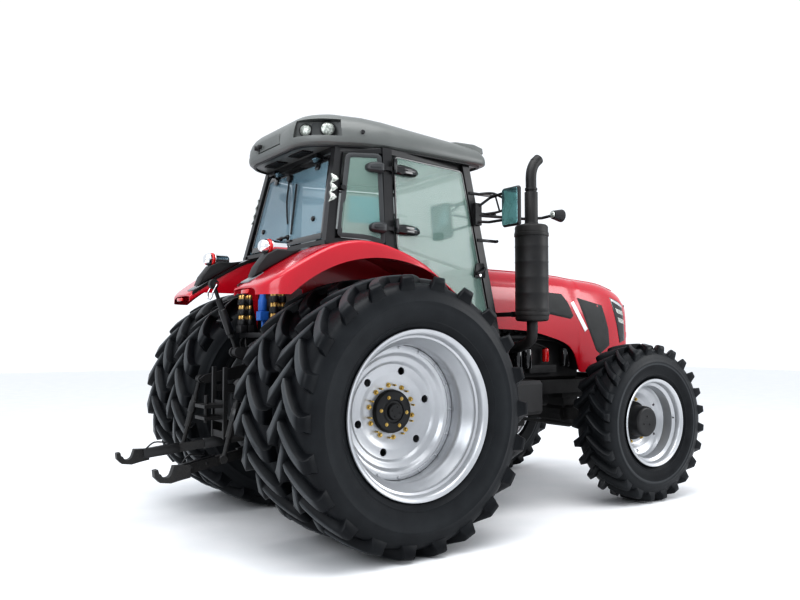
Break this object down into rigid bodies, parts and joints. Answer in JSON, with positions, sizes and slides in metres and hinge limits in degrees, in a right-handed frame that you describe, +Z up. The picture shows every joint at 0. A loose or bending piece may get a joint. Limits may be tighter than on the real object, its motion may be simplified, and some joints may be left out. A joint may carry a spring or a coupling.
{
  "type": "farm tractor",
  "caption": "Row-crop farm tractor with a glazed hinged-door cab, dual rear wheels, steered front wheels, lifting hood and a rear three-point linkage.",
  "frame": {"origin": "centre of the bounding box on the ground the tyres stand on", "axes": "+X forward, +Y to the driver's left, +Z up"},
  "size_m": [4.86, 2.987, 3.0619],
  "materials": {
    "red_paint": "glossy red enamel, slightly metallic",
    "roof_grey": "satin mid-grey moulded roof skin",
    "black_paint": "semi-gloss black paint on welded steel",
    "cast_black": "black paint over rough castings, oily dust in the corners",
    "grille_black": "black moulded grille with mesh",
    "tyre_rubber": "new agricultural tyre, blue-black, faint mould sheen",
    "rim_silver": "light silver enamel",
    "glass": "green-tinted cab glass",
    "seat_fabric": "dark woven seat cover",
    "cab_plastic": "dark grey moulded plastic"
  },
  "bodies": {
    "chassis": {"engine_block": "cast_black", "hood_stand": "black_paint", "front_frame": "cast_black", "gearbox_housing": "cast_black", "rear_axle_housing": "cast_black", "front_axle_beam": "cast_black", "exhaust_stack": "black_paint", "cab_frame": "black_paint", "cab_floor": "black_paint", "roof": "roof_grey", "windshield": "glass", "fender_left": "red_paint", "fender_right": "red_paint", "seat_base": "cab_plastic", "operator_seat": "seat_fabric", "dash_console": "cab_plastic", "side_console": "cab_plastic", "mirror_left": "black_paint", "mirror_right": "black_paint", "fuel_tank_left": "black_paint", "battery_box_right": "black_paint", "hitch_ladder": "black_paint"},
    "hood": {"hood": "red_paint", "nose_grille": "grille_black"},
    "steering_wheel": {"steering_wheel": "cab_plastic"},
    "rear_window": {"rear_window": "glass"},
    "lift_arms": {"lift_arms": "black_paint"},
    "top_link": {"top_link": "black_paint"},
    "tie_rod": {"tie_rod": "black_paint"},
    "rear_wheels_left": {"rear_tyre_inner_left": "tyre_rubber", "rear_tyre_outer_left": "tyre_rubber", "rear_rims_left": "rim_silver"},
    "front_wheel_left": {"front_tyre_left": "tyre_rubber", "front_rim_left": "rim_silver"},
    "front_knuckle_left": {"front_knuckle_left": "cast_black"},
    "door_left": {"door_left": "black_paint", "door_glass_left": "glass"},
    "quarter_window_left": {"quarter_window_left": "glass"},
    "lower_link_left": {"lower_link_left": "black_paint"},
    "lift_rod_left": {"lift_rod_left": "black_paint"},
    "rear_wheels_right": {"rear_tyre_inner_right": "tyre_rubber", "rear_tyre_outer_right": "tyre_rubber", "rear_rims_right": "rim_silver"},
    "front_wheel_right": {"front_tyre_right": "tyre_rubber", "front_rim_right": "rim_silver"},
    "front_knuckle_right": {"front_knuckle_right": "cast_black"},
    "door_right": {"door_right": "black_paint", "door_glass_right": "glass"},
    "quarter_window_right": {"quarter_window_right": "glass"},
    "lower_link_right": {"lower_link_right": "black_paint"},
    "lift_rod_right": {"lift_rod_right": "black_paint"}
  },
  "joints": [
    {"name": "steering_left", "type": "hinge", "parent": "chassis", "child": "front_knuckle_left", "pos_m": [1.706, 0.72, 0.685], "axis": [0, 0, 1], "range_deg": [-35, 35]},
    {"name": "steering_right", "type": "hinge", "parent": "chassis", "child": "front_knuckle_right", "pos_m": [1.706, -0.72, 0.685], "axis": [0, 0, 1], "range_deg": [-35, 35]},
    {"name": "tie_rod_end", "type": "hinge", "parent": "front_knuckle_left", "child": "tie_rod", "pos_m": [1.476, 0.72, 0.6147], "axis": [0, 0, 1], "range_deg": [-35, 35]},
    {"name": "steering_wheel_turn", "type": "hinge", "parent": "chassis", "child": "steering_wheel", "pos_m": [-0.11, 0, 2], "axis": [-0.5, 0, 0.866], "range_deg": [-175, 175]},
    {"name": "front_wheel_spin_left", "type": "hinge", "parent": "front_knuckle_left", "child": "front_wheel_left", "pos_m": [1.706, 0.987, 0.685], "axis": [0, 1, 0], "continuous": true},
    {"name": "rear_wheel_spin_left", "type": "hinge", "parent": "chassis", "child": "rear_wheels_left", "pos_m": [-1.01, 1, 0.92], "axis": [0, 1, 0], "continuous": true},
    {"name": "door_hinge_left", "type": "hinge", "parent": "chassis", "child": "door_left", "pos_m": [-0.795, 0.812, 2], "axis": [0, -0.0601, 0.9982], "range_deg": [0, 45]},
    {"name": "quarter_window_hinge_left", "type": "hinge", "parent": "chassis", "child": "quarter_window_left", "pos_m": [-0.855, 0.812, 2], "axis": [0, 0.0601, -0.9982], "range_deg": [0, 20]},
    {"name": "front_wheel_spin_right", "type": "hinge", "parent": "front_knuckle_right", "child": "front_wheel_right", "pos_m": [1.706, -0.987, 0.685], "axis": [0, 1, 0], "continuous": true},
    {"name": "rear_wheel_spin_right", "type": "hinge", "parent": "chassis", "child": "rear_wheels_right", "pos_m": [-1.01, -1, 0.92], "axis": [0, 1, 0], "continuous": true},
    {"name": "door_hinge_right", "type": "hinge", "parent": "chassis", "child": "door_right", "pos_m": [-0.795, -0.812, 2], "axis": [0, -0.0601, -0.9982], "range_deg": [0, 45]},
    {"name": "quarter_window_hinge_right", "type": "hinge", "parent": "chassis", "child": "quarter_window_right", "pos_m": [-0.855, -0.812, 2], "axis": [0, 0.0601, 0.9982], "range_deg": [0, 20]},
    {"name": "rear_window_hinge", "type": "hinge", "parent": "chassis", "child": "rear_window", "pos_m": [-1.20146, 0, 2.781], "axis": [0, 1, 0], "range_deg": [0, 35]},
    {"name": "hood_hinge", "type": "hinge", "parent": "chassis", "child": "hood", "pos_m": [0.55, 0, 1.93], "axis": [0, -1, 0], "range_deg": [0, 40]},
    {"name": "lower_link_left", "type": "hinge", "parent": "chassis", "child": "lower_link_left", "pos_m": [-1.43, 0.25, 0.655], "axis": [0, 1, 0], "range_deg": [-10, 26]},
    {"name": "lower_link_right", "type": "hinge", "parent": "chassis", "child": "lower_link_right", "pos_m": [-1.43, -0.25, 0.655], "axis": [0, 1, 0], "range_deg": [-10, 26]},
    {"name": "lift_arms", "type": "hinge", "parent": "chassis", "child": "lift_arms", "pos_m": [-1.44, 0, 1.16], "axis": [0, 1, 0], "range_deg": [-14, 36]},
    {"name": "lift_rod_left", "type": "hinge", "parent": "lift_arms", "child": "lift_rod_left", "pos_m": [-1.81, 0.42, 1.1], "axis": [0, 1, 0], "range_deg": [-35.5, 13.6]},
    {"name": "lift_rod_right", "type": "hinge", "parent": "lift_arms", "child": "lift_rod_right", "pos_m": [-1.81, -0.42, 1.1], "axis": [0, 1, 0], "range_deg": [-35.5, 13.6]},
    {"name": "top_link", "type": "hinge", "parent": "chassis", "child": "top_link", "pos_m": [-1.678, 0, 1.312], "axis": [0, -1, 0], "range_deg": [0, 75]}
  ],
  "couplings": [
    {"joint": "steering_right", "follows": "steering_left", "ratio": 1},
    {"joint": "tie_rod_end", "follows": "steering_left", "ratio": -1},
    {"joint": "steering_wheel_turn", "follows": "steering_left", "ratio": 5},
    {"joint": "lower_link_right", "follows": "lower_link_left", "ratio": 1},
    {"joint": "lift_arms", "follows": "lower_link_left", "ratio": 1.376},
    {"joint": "lift_rod_left", "follows": "lower_link_left", "ratio": -1.347},
    {"joint": "lift_rod_right", "follows": "lower_link_left", "ratio": -1.347}
  ]
}
